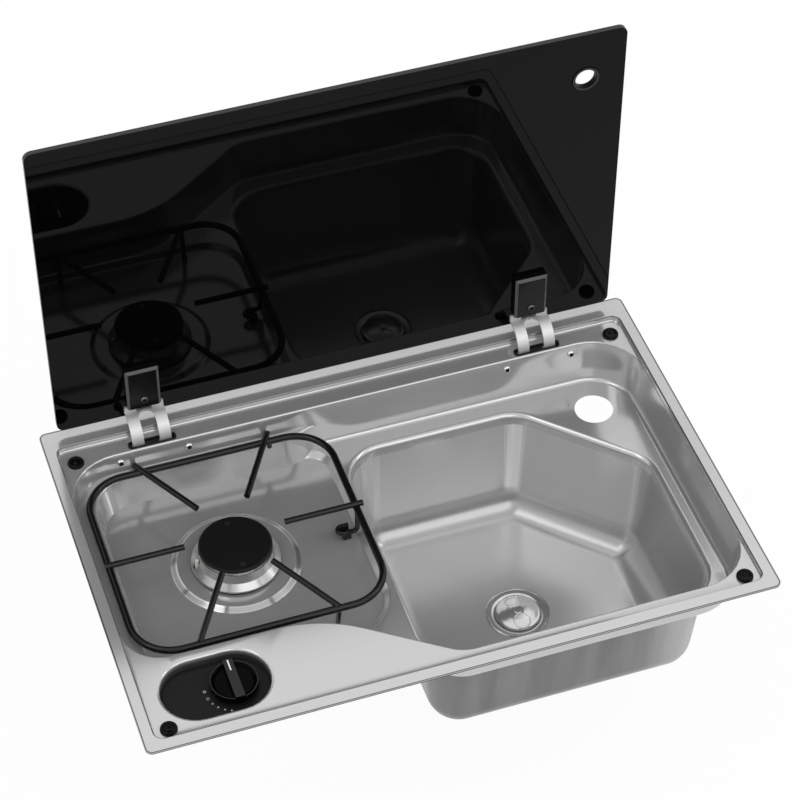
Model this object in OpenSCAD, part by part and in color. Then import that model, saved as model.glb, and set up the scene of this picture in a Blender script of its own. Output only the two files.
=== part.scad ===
// Inset hob and sink combination with a hinged glass lid.
// Lengths in millimetres. The row frame has X to the right, Y to the back and Z up,
// with its origin on the worktop plane at the middle of the front edge.

/* [Rim] */
// Width of the rim over its outer edges
rim_w = 600; // [560:1:660]
// Depth of the rim from front to back
rim_d = 400; // [385:1:430]
// Corner radius of the rim
rim_corner_r = 7; // [5:1:15]
// Thickness of the pressed steel sheet
sheet_t = 0.8; // [0.6:0.1:1.2]
// Height of the turned-down lip at the outer edge
lip_h = 1.5; // [1.2:0.1:3]
// Width of the rim's flat at the left and right
rim_side = 12; // [10:0.5:20]
// Width of the rim's flat at the front
rim_front = 13.6; // [11:0.2:20]
// Width of the rim's flat at the back
rim_back = 23; // [21:0.5:26]
// Depth of the step inside the rim
step_h = 6; // [5:0.5:9]
// Corner radius of the step
step_corner_r = 9; // [7:1:15]
// Width of the seal under the rim
seal_w = 8; // [6:0.5:9]

/* [Well] */
// Depth of the well below the ledge
well_depth = 48; // [44:1:60]
// Corner radius of the well
well_corner_r = 50; // [35:1:60]
// Slope of the well's walls from upright
well_draft = 6; // [3:0.5:10]
// Radius of the rolled top edge of the well
edge_r = 2; // [1.5:0.1:2.4]
// Radius at the foot of the well's walls
foot_r = 5; // [3:0.5:8]
// Flat between the front step and the well's front wall
front_strip = 12.6; // [10:0.2:20]
// Ledge between the back step and the well's back wall
back_ledge = 20.7; // [20:0.1:24]
// Depth of the control panel from the front step to the well
panel_d = 91; // [86:1:96]
// Distance from the left rim edge to the panel's turned corner
panel_corner_x = 190; // [170:1:210]
// Distance from the left rim edge to the front end of the diagonal
diagonal_end_x = 300; // [280:1:330]

/* [Hob floor] */
// Height of the shelf behind the hob above the platform
shelf_rise = 26; // [18:1:30]
// Distance from the left rim edge to the shelf's side
shelf_x = 33.3; // [30:0.1:38]
// Distance from the front rim edge to the shelf's front
shelf_y = 344.5; // [338:0.5:348]
// Depth of the hob pocket below the platform
pocket_h = 6; // [4:0.5:9]
// Distance from the left rim edge to the pocket's right side
pocket_right_x = 271; // [262:0.5:272]
// Distance from the left rim edge to the burner's axis
burner_x = 147.2; // [135:0.2:160]
// Distance from the front rim edge to the burner's axis
burner_y = 235; // [220:1:245]
// Radius of the raised ring round the burner
plateau_r = 62; // [56:1:70]
// Height of the raised ring round the burner
plateau_h = 3; // [1:0.5:4]

/* [Sink] */
// Gap from the right rim edge to the sink's rolled edge
sink_right = 29.6; // [26:0.2:40]
// Width of the sink opening
sink_w = 294.4; // [280:0.2:300]
// Distance from the front rim edge to the sink opening
sink_front = 47; // [44:1:60]
// Depth of the sink opening from front to back
sink_d = 288; // [260:1:290]
// Size of the cut corner beside the tap hole
sink_chamfer = 104; // [90:1:120]
// Corner radius of the sink opening
sink_corner_r = 45; // [40:1:55]
// Depth of the bowl below the platform
bowl_depth = 122; // [100:1:150]
// Slope of the bowl's walls from upright
bowl_draft = 5.2; // [3:0.2:8]
// Radius between the bowl's walls and floor
bowl_foot_r = 30; // [20:1:35]
// Radius of the sink's rolled edge
throat_r = 6; // [4:0.5:8]
// Distance from the left rim edge to the waste
waste_x = 415; // [405:1:430]
// Distance from the front rim edge to the waste
waste_y = 181; // [170:1:200]
// Diameter of the tap hole
tap_hole_d = 38.5; // [35:0.5:40]
// Gap from the right rim edge to the tap hole's axis
tap_right = 60.4; // [55:0.2:65]
// Distance from the front rim edge to the tap hole's axis
tap_y = 310; // [305:1:312]

/* [Control] */
// Distance from the left rim edge to the knob's axis
knob_x = 96; // [90:0.5:104]
// Distance from the front rim edge to the knob's axis
knob_y = 60.7; // [57:0.5:64]
// Distance between the two end centres of the recess
recess_run = 34; // [20:1:36]
// Radius of the recess ends
recess_r = 33.3; // [30:0.2:34]
// Depth of the recess below the panel
recess_depth = 12; // [11:0.5:16]
// Radius of the recess's rolled edge
recess_edge_r = 3; // [2:0.2:3.4]
// Thickness of the dark plate in the recess
plate_t = 1.5; // [1:0.1:2.5]
// Diameter of the knob
knob_d = 44.7; // [38:0.5:46]
// Height of the knob's body
knob_h = 6.4; // [5:0.2:8]
// Gap between the knob and the plate
knob_gap = 3.5; // [3.3:0.1:5]
// Height of the grip above the knob's edge
grip_rise = 2.5; // [1:0.1:2.6]
// Width of the grip
grip_w = 9; // [7:0.5:12]
// Diameter of the valve spindle
spindle_d = 8; // [6:0.5:9]

/* [Lid] */
// Thickness of the glass
glass_t = 5; // [4:0.5:6]
// Gap between the lid and the step at each side
lid_side_gap = 5.9; // [4:0.1:9]
// Gap between the closed lid and the front step
lid_front_gap = 7.4; // [5:0.2:12]
// Corner radius of the glass
glass_corner_r = 8; // [5:1:15]
// Diameter of the hole for the finger ring in the glass
finger_hole_d = 24; // [20:0.5:30]
// Gap from the right rim edge to the finger hole's axis
finger_right = 56.6; // [50:0.2:80]
// Distance from the lid's free edge to the finger hole's axis
finger_edge = 51.4; // [40:0.2:70]
// Diameter of the lid buffers
buffer_d = 16; // [12:0.5:18]

/* [Hinge] */
// Gap from the side rim edge to the hinge's middle
hinge_x = 103; // [95:1:130]
// Gap from the back rim edge to the hinge pin
pin_back = 15; // [14:0.5:17]
// Depth of the hinge pin below the rim's top
pin_drop = 8.1; // [7.6:0.1:9]
// Diameter of the hinge pin
pin_d = 6; // [4:0.5:6.5]
// Radius of the arms' curve at its middle
arm_r = 21.75; // [21.2:0.05:22.3]
// Thickness of the hinge arms
arm_t = 2.5; // [2:0.1:3]
// Width of one finger of the arm
finger_w = 11.5; // [9:0.5:13]
// Distance between the middles of the two fingers
finger_pitch = 27; // [20:0.5:28]
// Width of the hinge cover
cover_w = 33; // [28:1:38]
// Height of the hinge cover
cover_h = 50; // [40:1:60]
// Thickness of the hinge cover
cover_t = 8; // [6:0.5:9]

/* [Pan support] */
// Diameter of the ring wire
ring_d = 7; // [5:0.5:8]
// Diameter of the finger wires
prong_d = 6; // [4:0.5:7]
// Width of the ring over its wire's middle
ring_w = 240.8; // [220:1:242]
// Depth of the ring over its wire's middle
ring_dp = 221; // [200:1:222]
// Distance from the left rim edge to the ring's left wire
ring_x = 25.7; // [24.5:0.1:27]
// Distance from the front rim edge to the ring's front wire
ring_y = 120; // [118:1:122]
// Corner radius of the ring
ring_corner_r = 40; // [30:1:50]
// Depth of the ring wire's middle below the rim's top
ring_drop = 21; // [19:0.5:23]
// Radius of the clear circle between the fingers
prong_in = 49; // [40:1:55]

/* [Burner] */
// Diameter of the burner cap
cap_d = 70; // [60:1:74]
// Thickness of the burner cap
cap_t = 4; // [3:0.5:6]
// Height of the cap's top above the platform
cap_rise = 22.5; // [21:0.5:26]
// Diameter of the burner's skirt at its foot
skirt_d = 86; // [80:1:90]
// Number of flame ports
port_n = 36; // [24:2:48]

/* [Pipes] */
// Diameter of the gas pipes
pipe_d = 8; // [6:1:10]
// Bend radius of the gas pipes
pipe_bend_r = 12; // [10:1:14]
// Diameter of the waste tail
tail_d = 25; // [20:1:32]
// Length of the waste tail
tail_l = 28; // [20:1:60]

/* [Hidden] */
$fn = 64;

fit = 0.05;           // running clearance on a radius
seat = 0.3;           // clearance of pieces that rest near each other
cut = 1;              // how far a cut runs past a face
corner_n = 9;         // points round one corner of an outline
turn_n = 4;           // points round one rolled edge

// levels below the rim's top
z_ledge = -step_h;
z_platform = z_ledge - well_depth;
z_shelf = z_platform + shelf_rise;
z_pocket = z_platform - pocket_h;
z_plateau = z_pocket + plateau_h;
z_bowl = z_platform - bowl_depth;
z_recess = z_ledge - recess_depth;
z_plate = z_recess + plate_t;
z_split = z_platform - throat_r - 6;

// seat line of the rim on the worktop
seat_gap = 0.4;
seat_y = sheet_t + seat_gap + seal_w / 2;

// step outline
step_r_top = 1.5;
step_r_foot = 1.5;
step_draft = 5;
step_l = rim_side;
step_f = rim_front;
step_rt = rim_w - rim_side;
step_b = rim_d - rim_back;

// well outline, at the top of its walls
side_run = 1.1;
well_l = step_l + side_run;
well_r = step_rt - side_run;
well_f = step_f + front_strip;
well_b = step_b - back_ledge;
well_p = step_f + panel_d;
panel_fl_r = 38;
panel_bend_r = 130;
diagonal_r = 40;
well_pts = [[well_l, well_p], [panel_corner_x, well_p], [diagonal_end_x, well_f],
  [well_r, well_f], [well_r, well_b], [well_l, well_b]];
well_rs = [panel_fl_r, panel_bend_r, diagonal_r, well_corner_r, well_corner_r, well_corner_r];
side_flare = 0.3;     // share of the roll that the side walls keep beside the step

// sink outline, at the outer line of its rolled edge
sink_rt = rim_w - sink_right;
sink_l = sink_rt - sink_w;
sink_b = sink_front + sink_d;
sink_pts = [[sink_l, sink_front], [sink_rt, sink_front], [sink_rt, sink_b - sink_chamfer],
  [sink_rt - sink_chamfer, sink_b], [sink_l, sink_b]];
sink_rs = [sink_corner_r, sink_corner_r, sink_corner_r, sink_corner_r, sink_corner_r];

// hob pocket outline
pocket_roll_r = 3;
pocket_slope = 45;
pocket_l = shelf_x - 2;                  // its left and back edges lie under the shelf
pocket_b = shelf_y + 1.5;
pocket_f = well_p + 8.4;
pocket_pts = [[pocket_l, pocket_f], [pocket_right_x, pocket_f], [pocket_right_x, pocket_b],
  [pocket_l, pocket_b]];
pocket_rs = [30, 45, 24, 30];

// shelf outline
shelf_roll_r = 3;
shelf_slope = 12;
shelf_out = 60;
shelf_turn_x = 236;
shelf_end_x = 272;
shelf_end_y = well_b;
shelf_pts = [[-shelf_out, well_p / 2], [shelf_x, well_p / 2], [shelf_x, shelf_y],
  [shelf_turn_x, shelf_y], [shelf_end_x, shelf_end_y], [shelf_end_x, rim_d + shelf_out],
  [-shelf_out, rim_d + shelf_out]];
shelf_rs = [0, 0, 38, 60, 0, 0, 0];
shelf_ns = [1, 1, corner_n, corner_n, 1, 1, 1];

// hinge places
pin_y = rim_d - pin_back;
pin_z = -pin_drop;
lid_under = -2.45;                       // underside of the closed lid below the rim's top
lid_off = lid_under - pin_z;             // lid face from the pin
lid_foot = 16.4;                         // lid edge from the pin
glass_y = pin_y + lid_off;
glass_z0 = pin_z + lid_foot;
lid_w = rim_w - 2 * (step_l + lid_side_gap);
lid_h = pin_y - lid_foot - (step_f + lid_front_gap);
arm_in = arm_r - arm_t / 2;
arm_out = arm_r + arm_t / 2;
arm_w = finger_pitch + finger_w;
arm_start = 80;
arm_end = 188;
eye_r = pin_d / 2 + 2;
slot_w = 8;
slot_l = arm_w + 7.5;
slot_y = pin_y - arm_r + 0.2;
slot_corner_r = 3;
grommet_t = 0.8;
box_t = 1.5;
box_gap = 3.5;
box_w = arm_w + 2 * box_gap;
ear_w = 8;
screw_pitch = 67.8;
screw_z = -17;
screw_d = 3.5;
screw_head_r = 3.8;
web_h = 18;
hinge_places = [hinge_x, rim_w - hinge_x];

// well's back wall face
wall_top_z = z_ledge - edge_r + edge_r * sin(well_draft);
function wall_y(z) = well_b + edge_r * (1 - cos(well_draft)) - (wall_top_z - z) * tan(well_draft);

// burner levels
cap_top = z_platform + cap_rise;
crown_top = cap_top - cap_t;
crown_h = 3;
skirt_top = crown_top - crown_h;
burner_hole_r = 30;
seal_t = 1.6;
electrode_r = 2;
ceramic_r = 3;
electrode_out = 38;
electrode_x = burner_x - electrode_out;
tube_r = 9;
pot_foot = z_plateau - 22;
pipe_z = pot_foot - 8;

// waste levels
dish_r = 32;
dish_h = 2;
z_dish = z_bowl - dish_h;
waste_hole_r = 20;
flange_r = 30;

// valve
valve_w = 36;
valve_d = 30;
valve_top = z_recess - sheet_t;
valve_h = 30;
valve_foot = valve_top - valve_h;
plug_r = 7;
plug_top = valve_top - 7;
plug_foot = plug_top - 20;
knob_foot = z_plate + knob_gap;
knob_top = knob_foot + knob_h;
grip_top = knob_top + grip_rise;
spindle_top = knob_top - 1.5;
spindle_foot = plug_foot + 6;
outlet_z = valve_foot + 12;
outlet_l = 13;
valve_screw_pitch = 26;

// colours
steel = [0.78, 0.79, 0.80];
bright = [0.88, 0.88, 0.89];
black = [0.06, 0.06, 0.07];
glass = [0.03, 0.03, 0.035, 0.9];
alloy = [0.70, 0.70, 0.71];
brass = [0.78, 0.62, 0.30];
rubber = [0.10, 0.10, 0.10];
ceramic = [0.93, 0.92, 0.88];

// moves a piece from the tray's corner to the row frame
module place() {
  translate([-rim_w / 2, -seat_y, lip_h]) children();
}

// outline tools
function unit(v) = v / norm(v);
function left_of(a, b) = let(e = unit(b - a)) [-e[1], e[0]];
function turn_of(p, c, n) = (c[0] - p[0]) * (n[1] - c[1]) - (c[1] - p[1]) * (n[0] - c[0]);

// the corner that two edges meet in when each moves inwards by its own distance
function inset_corner(p, c, n, dp, dn) =
  let(a = left_of(p, c), b = left_of(c, n), k = a * b, q = 1 - k * k)
  c + a * (dp - k * dn) / q + b * (dn - k * dp) / q;
function inset(pts, ds) =
  let(m = len(pts))
  [for (i = [0:m - 1])
    inset_corner(pts[(i + m - 1) % m], pts[i], pts[(i + 1) % m], ds[(i + m - 1) % m], ds[i])];

// n points round a corner of radius r
function corner(p, c, n, r, count) =
  count < 2 ? [c] :
  let(u = unit(p - c), w = unit(n - c), half = acos(u * w) / 2,
    mid = c + unit(u + w) * r / sin(half), a = c + u * r / tan(half) - mid,
    sweep = (180 - 2 * half) * sign(turn_of(p, c, n)))
  [for (i = [0:count - 1])
    let(t = sweep * i / (count - 1))
    mid + [a[0] * cos(t) - a[1] * sin(t), a[0] * sin(t) + a[1] * cos(t)]];

// closed outline with rounded corners, all its edges moved inwards by ds
function outline(pts, rs, ds, ns) =
  let(v = inset(pts, ds), m = len(pts))
  [for (i = [0:m - 1])
    let(p = v[(i + m - 1) % m], c = v[i], n = v[(i + 1) % m],
      d = (ds[(i + m - 1) % m] + ds[i]) / 2,
      r = max(0.5, rs[i] - d * sign(turn_of(p, c, n))))
    each corner(p, c, n, r, ns[i])];
function same(v, m) = [for (i = [1:m]) v];
function ring_at(pts, rs, ds, ns, z) = [for (p = outline(pts, rs, ds, ns)) [p[0], p[1], z]];

// closed solid through a stack of rings, from the top one down
module loft(rings, fan) {
  n = len(rings[0]);
  m = len(rings);
  sides = [for (i = [0:m - 2]) for (k = [0:n - 1])
    let(j = (k + 1) % n, a = i * n, b = a + n)
    each [[a + k, a + j, b + j], [a + k, b + j, b + k]]];
  top = [for (k = [0:n - 1]) (fan + n - k) % n];
  foot = [for (k = [0:n - 1]) (m - 1) * n + (fan + k) % n];
  polyhedron(points = [for (r = rings) each r], faces = concat([top], sides, [foot]));
}

// pressed wall section as [inset, flare, height]: rolled edge, sloping wall, rounded foot.
// o is the distance behind the visible face.
function roll_part(zt, r, draft, o) =
  [for (i = [(o > 0 ? 1 : 0):turn_n])
    let(t = (90 - draft) * i / turn_n)
    [-o * sin(t), r * (1 - sin(t)), zt - r + (r - o) * cos(t)]];
function wall_fall(zt, zf, rt, rf, draft) =
  (zt - rt + rt * sin(draft) + rf * sin(draft) - zf - rf) / cos(draft);
function foot_centre(zt, zf, rt, rf, draft) =
  [-rt * (1 - cos(draft)) + wall_fall(zt, zf, rt, rf, draft) * sin(draft) + rf * cos(draft),
    zf + rf];
function foot_part(zt, zf, rt, rf, draft, o, count) =
  let(c = foot_centre(zt, zf, rt, rf, draft))
  [for (i = [0:count])
    let(t = draft + (90 - draft) * i / count)
    [c[0] - (rf + o) * cos(t), 0, c[1] - (rf + o) * sin(t)]];
function section(zt, zf, rt, rf, draft, o, count) =
  let(a = roll_part(zt, rt, draft, o))
  concat([[a[0][0], a[0][1], o > 0 ? zt - o / 2 : zt + cut]], a,
    foot_part(zt, zf, rt, rf, draft, o, count));

// flare is the share of the rolled edge that each side has
module pressing(pts, rs, flare, sec, fan) {
  m = len(pts);
  loft([for (s = sec)
    ring_at(pts, rs, [for (f = flare) s[0] - s[1] * f], same(corner_n, m), s[2])],
    fan);
}

// rounded rectangle between two corners
module round_rect(x0, y0, x1, y1, r) {
  union() {
    translate([x0 + r, y0]) square([x1 - x0 - 2 * r, y1 - y0]);
    translate([x0, y0 + r]) square([x1 - x0, y1 - y0 - 2 * r]);
    for (x = [x0 + r, x1 - r]) for (y = [y0 + r, y1 - r]) translate([x, y]) circle(r);
  }
}

module rim_outline(d) {
  round_rect(d, d, rim_w - d, rim_d - d, max(rim_corner_r - d, 0.5));
}

// forms of the pressed tray: o is 0 on the visible face and the sheet thickness behind it
module step_form(o) {
  pressing([[step_l, step_f], [step_rt, step_f], [step_rt, step_b], [step_l, step_b]],
    same(step_corner_r, 4), same(1, 4),
    section(0, z_ledge, step_r_top, step_r_foot, step_draft, o, turn_n - 1),
    floor(corner_n * 2.5));
}

module shelf_block(o) {
  ends = 90 - shelf_slope;
  roll = [for (i = [0:turn_n])
    let(t = ends * i / turn_n)
    [shelf_roll_r - (shelf_roll_r - o) * sin(t), z_shelf - shelf_roll_r
      + (shelf_roll_r - o) * cos(t)]];
  last = roll[turn_n];
  z_low = z_pocket - 10;
  all = concat(roll, [[last[0] - (last[1] - z_low) * tan(shelf_slope), z_low]]);
  loft([for (s = all)
    ring_at(shelf_pts, shelf_rs, same(s[0], len(shelf_pts)), shelf_ns, s[1])],
    2 + 2 * corner_n + 2);
}

module well_form(o) {
  difference() {
    pressing(well_pts, well_rs, [1, 1, 1, side_flare, 1, side_flare],
      section(z_ledge, z_platform, edge_r, foot_r, well_draft, o, turn_n),
      floor(corner_n * 4.5));
    shelf_block(o);
  }
}

module plateau(o) {
  slope = atan(plateau_h / 6);
  k = o * (1 / cos(slope) - 1) / tan(slope);
  z_low = z_pocket - 3;
  top_r = plateau_r - 6 + k;
  low_r = top_r + (z_plateau - o - z_low) / tan(slope);
  rotate_extrude() polygon([[0, z_low], [low_r, z_low], [top_r, z_plateau - o],
    [0, z_plateau - o]]);
}

module pocket_form(o) {
  difference() {
    pressing(pocket_pts, pocket_rs, same(1, 4),
      section(z_platform, z_pocket, pocket_roll_r, pocket_roll_r, pocket_slope, o, 3),
      floor(corner_n * 2.5));
    shelf_block(o);
    translate([burner_x, burner_y, 0]) plateau(o);
  }
}

// stadium outline of the knob recess, and the pressed recess
module stadium(r) {
  union() {
    circle(r);
    translate([-recess_run, 0]) circle(r);
    translate([-recess_run, -r]) square([recess_run, 2 * r]);
  }
}

function stadium_ring(r, z) = concat(
  [for (i = [0:16]) let(t = -90 + i * 11.25) [r * cos(t), r * sin(t), z]],
  [for (i = [0:16]) let(t = 90 + i * 11.25) [r * cos(t) - recess_run, r * sin(t), z]]);

module recess_form(o) {
  sec = section(z_ledge, z_recess, recess_edge_r, 1.5, 4, o, 2);
  translate([knob_x, knob_y, 0])
    loft([for (s = sec) stadium_ring(recess_r - s[0] + s[1], s[2])], 8);
}

// sink edge and bowl share one section, divided at the weld
sink_at = throat_r;
function sink_section(o) =
  section(z_platform, z_bowl, throat_r, bowl_foot_r, bowl_draft, o, 7);
function sink_wall(o, z) =
  let(c = foot_centre(z_platform, z_bowl, throat_r, bowl_foot_r, bowl_draft))
  [c[0] - (bowl_foot_r + o) / cos(bowl_draft) - (z - c[1]) * tan(bowl_draft), 0, z];
module sink_loft(sec) {
  m = len(sink_pts);
  loft([for (s = sec)
    ring_at(sink_pts, sink_rs, same(s[0] - s[1] + sink_at, m), same(corner_n, m), s[2])],
    floor(corner_n * 4.5));
}

module throat_form(o) {
  sec = sink_section(o);
  keep = [for (i = [0:turn_n + (o > 0 ? 0 : 1)]) sec[i]];
  sink_loft(concat(keep, [sink_wall(o, o > 0 ? z_split : z_split - cut)]));
}

module bowl_form(o) {
  sec = sink_section(o);
  n = len(sec);
  keep = [for (i = [n - 8:n - 1]) sec[i]];
  sink_loft(concat([sink_wall(o, o > 0 ? z_split : z_split + cut)], keep));
}

// a frame on the back wall with Z pointing out of the well
module on_back_wall(x, z) {
  translate([x, wall_y(z), z]) rotate([-90 - well_draft, 0, 0]) children();
}

module slot_outline(grow) {
  l = slot_l / 2 + grow;
  w = slot_w / 2 + grow;
  round_rect(-l, -w, l, w, slot_corner_r + grow);
}

buffer_in = 14.5;
buffer_places = [[buffer_in + step_l, step_f + 11.6], [step_rt - buffer_in, step_f + 11.6],
  [step_rt - buffer_in, step_b - 19], [buffer_in + step_l, step_b - 19]];
buffer_stem_r = 3;

module tray_body() {
  difference() {
    union() {
      translate([0, 0, -sheet_t]) linear_extrude(sheet_t) rim_outline(0);
      translate([0, 0, -lip_h]) linear_extrude(lip_h - sheet_t / 2) difference() {
        rim_outline(0);
        rim_outline(sheet_t);
      }
      step_form(sheet_t);
      well_form(sheet_t);
      pocket_form(sheet_t);
      recess_form(sheet_t);
      throat_form(sheet_t);
    }
    step_form(0);
    well_form(0);
    pocket_form(0);
    recess_form(0);
    throat_form(0);
    translate([rim_w - tap_right, tap_y, z_platform - 5]) cylinder(h = 10, d = tap_hole_d);
    for (x = hinge_places) {
      translate([x, slot_y, z_ledge - 3]) linear_extrude(6) slot_outline(0);
      for (s = [-1, 1]) on_back_wall(x + s * screw_pitch / 2, screw_z)
        translate([0, 0, -3]) cylinder(h = 6, d = screw_d + 0.2);
    }
    for (p = buffer_places) translate([p[0], p[1], z_ledge - 3]) cylinder(h = 6,
      r = buffer_stem_r + fit);
    translate([burner_x, burner_y, z_plateau - 4]) cylinder(h = 8, r = burner_hole_r);
    translate([electrode_x, burner_y, z_plateau - 4]) cylinder(h = 8, r = ceramic_r + 1);
    translate([knob_x, knob_y, z_recess - 3]) cylinder(h = 6, r = spindle_d / 2 + 3);
    for (s = [-1, 1]) translate([knob_x + s * valve_screw_pitch / 2, knob_y, z_recess - 3])
      cylinder(h = 6, d = screw_d + 0.2);
  }
}

module tray() color(steel) place() tray_body();

module sink_bowl() color(steel) place() {
  difference() {
    union() {
      bowl_form(sheet_t);
      translate([waste_x, waste_y, z_dish - sheet_t]) cylinder(h = dish_h + 1,
        r = dish_r + sheet_t);
    }
    bowl_form(0);
    translate([waste_x, waste_y, z_dish]) cylinder(h = dish_h + 2, r = dish_r);
    translate([waste_x, waste_y, z_dish - 3]) cylinder(h = 6, r = waste_hole_r);
  }
}

module rim_seal() color(rubber) place() {
  translate([0, 0, -lip_h]) linear_extrude(lip_h - sheet_t) difference() {
    rim_outline(sheet_t + seat_gap);
    rim_outline(sheet_t + seat_gap + seal_w);
  }
}

module lid_buffers() color(rubber) place() {
  r = buffer_d / 2;
  top = lid_under - seat;
  for (p = buffer_places) translate([p[0], p[1], 0]) rotate_extrude() polygon([
    [0, z_ledge - sheet_t - 3], [buffer_stem_r - 1, z_ledge - sheet_t - 3],
    [buffer_stem_r + 1, z_ledge - sheet_t - 0.6], [buffer_stem_r + 1, z_ledge - sheet_t],
    [buffer_stem_r, z_ledge - sheet_t], [buffer_stem_r, z_ledge], [r, z_ledge],
    [r, top - 1], [r - 1, top - 0.2], [r - 2.5, top], [0, top]]);
}

// grommet that lines a hinge slot, with a lip above and below the sheet
module grommet(x) {
  translate([x, slot_y, 0]) difference() {
    union() {
      translate([0, 0, z_ledge]) linear_extrude(grommet_t) slot_outline(grommet_t);
      translate([0, 0, z_ledge - sheet_t - 1.4]) linear_extrude(1.4 + sheet_t) slot_outline(-fit);
      translate([0, 0, z_ledge - sheet_t - 1.4]) linear_extrude(1.4) slot_outline(0.5);
    }
    translate([0, 0, z_ledge - 5]) linear_extrude(8) slot_outline(-grommet_t);
  }
}
module grommet_left() color(rubber) place() grommet(hinge_places[0]);
module grommet_right() color(rubber) place() grommet(hinge_places[1]);

// hinge box: a web on the back wall, two ears for its screws and two cheeks for the pin
module cheek_outline() {
  z1 = z_ledge - sheet_t - 4;
  z2 = z1 - 14;
  out = sheet_t + 0.4;
  union() {
    polygon([[wall_y(z1) + out, z1], [pin_y - eye_r - 0.8, z_ledge - sheet_t - 0.8],
      [pin_y - 1, pin_z + eye_r - 1.2], [pin_y + eye_r - 1, pin_z],
      [pin_y + 1, pin_z - eye_r + 0.4], [wall_y(z2) + out, z2]]);
    translate([pin_y, pin_z]) circle(eye_r);
  }
}
module hinge_box(x) {
  half = box_w / 2 + box_t;
  ear = screw_pitch / 2 + ear_w / 2 + 1;
  difference() {
    union() {
      on_back_wall(x, screw_z) translate([-ear, -web_h / 2 + 3, sheet_t]) cube([2 * ear, web_h,
        box_t]);
      for (s = [-1, 1]) translate([x + s * (half - box_t / 2) - box_t / 2, 0, 0])
        rotate([90, 0, 90]) linear_extrude(box_t) cheek_outline();
    }
    translate([x - half - 1, pin_y, pin_z]) rotate([0, 90, 0]) cylinder(h = 2 * half + 2,
      d = pin_d);
    for (s = [-1, 1]) on_back_wall(x + s * screw_pitch / 2, screw_z)
      translate([0, 0, -1]) cylinder(h = 6, d = screw_d);
  }
}
module hinge_box_left() color(steel) place() hinge_box(hinge_places[0]);
module hinge_box_right() color(steel) place() hinge_box(hinge_places[1]);

module hinge_pin(x) {
  half = box_w / 2 + box_t;
  translate([x, pin_y, pin_z]) rotate([0, 90, 0]) {
    cylinder(h = 2 * half, d = pin_d, center = true);
    for (s = [0, 1]) mirror([0, 0, s]) translate([0, 0, half]) cylinder(h = 1.5,
      d = pin_d + 2.5);
  }
}
module hinge_pin_left() color(bright) place() hinge_pin(hinge_places[0]);
module hinge_pin_right() color(bright) place() hinge_pin(hinge_places[1]);

// countersunk screw with its head's face at the origin and its shank towards -Z
sunk_r = 3.4;
sunk_h = 1.3;
module sunk_screw(d, l) {
  rotate_extrude() polygon([[0, 0], [sunk_r, 0], [d / 2, -sunk_h], [d / 2, -l], [0, -l]]);
}

// domed screw with its shank along Z, head towards -Z
module pan_screw(d, l) {
  r = screw_head_r;
  rotate_extrude() polygon([[0, -2.2], [r * 0.47, -2], [r * 0.84, -1.2], [r, 0], [d / 2, 0],
    [d / 2, l], [0, l]]);
}
module hinge_screws() color(bright) place() {
  for (x = hinge_places) for (s = [-1, 1]) on_back_wall(x + s * screw_pitch / 2, screw_z)
    pan_screw(screw_d, sheet_t + box_t + 3);
}

module knob_plate() color(black) place() translate([knob_x, knob_y, z_recess]) {
  difference() {
    union() {
      linear_extrude(plate_t / 2) stadium(recess_r - 2.6);
      translate([0, 0, plate_t / 2]) linear_extrude(plate_t / 2) stadium(recess_r - 1.3);
    }
    translate([0, 0, -1]) cylinder(h = plate_t + 2, r = spindle_d / 2 + 3);
    for (s = [-1, 1]) translate([s * valve_screw_pitch / 2, 0, 0]) {
      translate([0, 0, -1]) cylinder(h = plate_t + 2, d = screw_d + 2 * fit);
      translate([0, 0, plate_t - sunk_h]) cylinder(h = sunk_h, r1 = screw_d / 2 + fit,
        r2 = sunk_r + fit);
    }
  }
}

module gas_valve() color(brass) place() translate([knob_x, knob_y, 0]) difference() {
  union() {
    translate([-valve_w / 2, -valve_d / 2, valve_top - 4]) cube([valve_w, valve_d, 4]);
    translate([0, 0, valve_foot]) cylinder(h = valve_h - 2, r = valve_d / 2 - 2);
    translate([-valve_w / 2, -8, inlet_z - 8]) cube([valve_w / 2, 16, 14]);
    translate([0, 0, outlet_z]) rotate([-90, 0, 0]) cylinder(h = outlet_l, r = pipe_d / 2 + 3);
  }
  translate([0, 0, plug_foot - seat]) cylinder(h = plug_top - plug_foot + 2 * seat,
    r = plug_r + fit);
  translate([0, 0, plug_top]) cylinder(h = 30, r = spindle_d / 2 + 0.3);
  for (s = [-1, 1]) translate([s * valve_screw_pitch / 2, 0, valve_top - 6]) cylinder(h = 8,
    d = screw_d);
  translate([0, outlet_l - 4, outlet_z]) rotate([-90, 0, 0]) cylinder(h = 8, d = pipe_d);
  translate([-valve_w / 2 - 2, 0, inlet_z]) rotate([0, 90, 0]) cylinder(h = 8, d = pipe_d);
}

module valve_screws() color(bright) place() {
  for (s = [-1, 1]) translate([knob_x + s * valve_screw_pitch / 2, knob_y, z_plate])
    sunk_screw(screw_d, plate_t + sheet_t + 4);
}

module valve_plug() color(brass) place() translate([knob_x, knob_y, 0]) difference() {
  translate([0, 0, plug_foot]) cylinder(h = plug_top - plug_foot, r = plug_r);
  translate([0, 0, plug_foot + 2]) cylinder(h = 40, r = spindle_d / 2 + fit);
}

module valve_spindle() color(bright) place() translate([knob_x, knob_y, 0]) difference() {
  translate([0, 0, spindle_foot]) cylinder(h = spindle_top - spindle_foot, d = spindle_d);
  translate([-spindle_d, spindle_d / 2 - 1.2, knob_foot]) cube([2 * spindle_d, spindle_d, 40]);
}

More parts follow.
